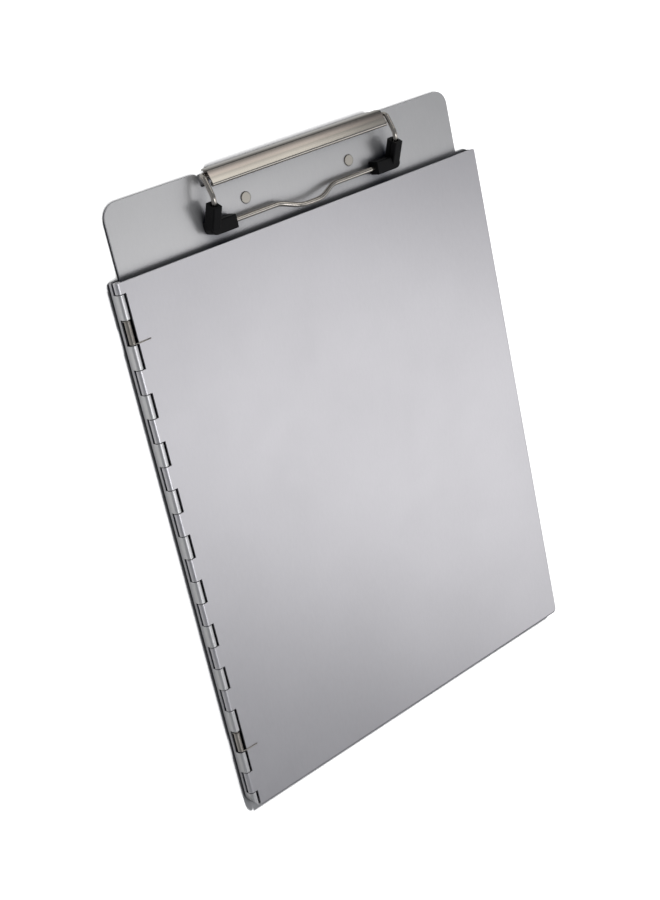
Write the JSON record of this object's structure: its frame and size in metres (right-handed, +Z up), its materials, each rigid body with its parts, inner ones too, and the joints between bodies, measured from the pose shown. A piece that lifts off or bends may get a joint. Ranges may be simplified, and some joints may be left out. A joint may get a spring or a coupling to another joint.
{
  "type": "privacy clipboard",
  "caption": "Thin satin aluminium clipboard with a spring-hinged privacy cover, a piano hinge down one side and a low sprung wire clip with rubber corners on its head tab.",
  "frame": {"origin": "on the underside, below the middle of the whole outline, so the board lies flat on the plane Z = 0", "axes": "+X from the hinge side to the open side, +Y along the board towards the clip, +Z up out of the cover"},
  "size_m": [0.2464, 0.3324, 0.0146],
  "materials": {
    "satin_aluminium_plate": "satin, fine rolled grain",
    "satin_aluminium_cover": "satin, fine rolled grain",
    "hinge_pin_steel": "drawn wire, bright",
    "hinge_spring_steel": "oil-tempered spring wire",
    "nickel_plated_sheet": "nickel plate, polished",
    "nickel_plated_wire": "nickel plate, polished",
    "bail_spring_steel": "spring wire",
    "black_rubber": "matt moulded rubber",
    "rivet_steel": "nickel plate, lightly brushed"
  },
  "bodies": {
    "board": {"back_plate": "satin_aluminium_plate", "hinge_pin": "hinge_pin_steel", "hinge_spring_upper": "hinge_spring_steel", "hinge_spring_lower": "hinge_spring_steel", "clip_channel": "nickel_plated_sheet", "bail_spring_left": "bail_spring_steel", "bail_spring_right": "bail_spring_steel", "clip_rivet_left": "rivet_steel", "clip_rivet_right": "rivet_steel"},
    "cover": {"privacy_cover": "satin_aluminium_cover"},
    "bail": {"wire_bail": "nickel_plated_wire", "corner_grip_left": "black_rubber", "corner_grip_right": "black_rubber"}
  },
  "joints": [
    {"name": "cover_hinge", "type": "hinge", "parent": "board", "child": "cover", "pos_m": [-0.1212, 0, 0.0054], "axis": [0, -1, 0], "range_deg": [0, 180], "stiffness_Nm_per_rad": 0.03, "springref_deg": -91.67, "deforming": ["hinge_spring_upper", "hinge_spring_lower"]},
    {"name": "bail_pivot", "type": "hinge", "parent": "board", "child": "bail", "pos_m": [0.0006, 0.1633, 0.0058], "axis": [-1, 0, 0], "range_deg": [0, 85], "stiffness_Nm_per_rad": 0.15, "springref_deg": -51.57, "deforming": ["bail_spring_left", "bail_spring_right"]}
  ]
}
